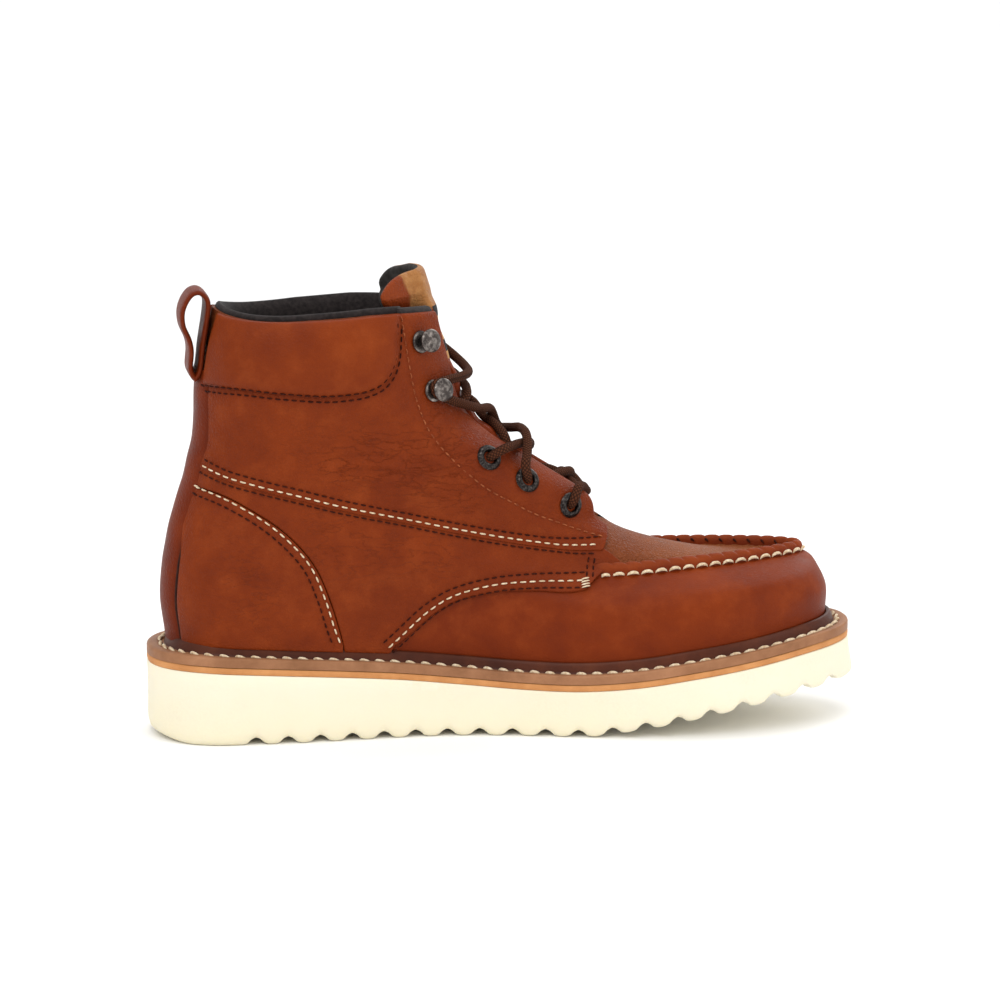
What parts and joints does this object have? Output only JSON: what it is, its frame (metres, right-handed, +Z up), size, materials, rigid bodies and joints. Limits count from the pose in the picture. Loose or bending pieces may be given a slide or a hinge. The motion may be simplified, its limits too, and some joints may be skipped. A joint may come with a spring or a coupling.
{
  "type": "work boot",
  "caption": "Left ankle-high leather work boot with a raised moc-toe seam, a cream wedge sole with cross ribs, eyelets and speed hooks, and a pull loop at the heel",
  "frame": {"origin": "On the floor, under the middle of the boot's length and width, at the height of the heel's and the ball's flat contact patches.", "axes": "+X points from the heel to the toe, +Y to the outer side of the left foot, +Z up."},
  "size_m": [0.305, 0.1076, 0.1977],
  "materials": {
    "wedge_rubber": "matte cream microcell rubber",
    "midsole_rubber": "smooth tan edge",
    "welt_leather": "dark brown, waxed, stitched",
    "upper_leather": "oiled red-brown full-grain leather with lighter pull-up at the creases",
    "tongue_leather": "soft brown leather over padding",
    "lining_felt": "black felt",
    "insole_fabric": "dark covered footbed",
    "loop_leather": "folded brown strap",
    "dark_metal": "dark antique plating, worn brighter on the rims",
    "lace_cord": "brown woven round lace"
  },
  "bodies": {
    "root": {"outsole": "wedge_rubber", "midsole": "midsole_rubber", "insole": "insole_fabric", "welt": "welt_leather", "upper": "upper_leather", "tongue": "tongue_leather", "collar_lining": "lining_felt", "counter_inner": "upper_leather", "counter_outer": "upper_leather", "quarter_inner": "upper_leather", "quarter_outer": "upper_leather", "shaft_inner": "upper_leather", "shaft_outer": "upper_leather", "cuff_inner": "upper_leather", "cuff_outer": "upper_leather", "backstay": "upper_leather", "pull_loop": "loop_leather", "eyelet_inner_1": "dark_metal", "eyelet_inner_2": "dark_metal", "eyelet_inner_3": "dark_metal", "eyelet_outer_1": "dark_metal", "eyelet_outer_2": "dark_metal", "eyelet_outer_3": "dark_metal", "hook_inner_1": "dark_metal", "hook_inner_2": "dark_metal", "hook_outer_1": "dark_metal", "hook_outer_2": "dark_metal", "lace_bar": "lace_cord", "lace_cross_1": "lace_cord", "lace_cross_2": "lace_cord", "lace_cross_3": "lace_cord", "lace_cross_4": "lace_cord"}
  },
  "joints": []
}
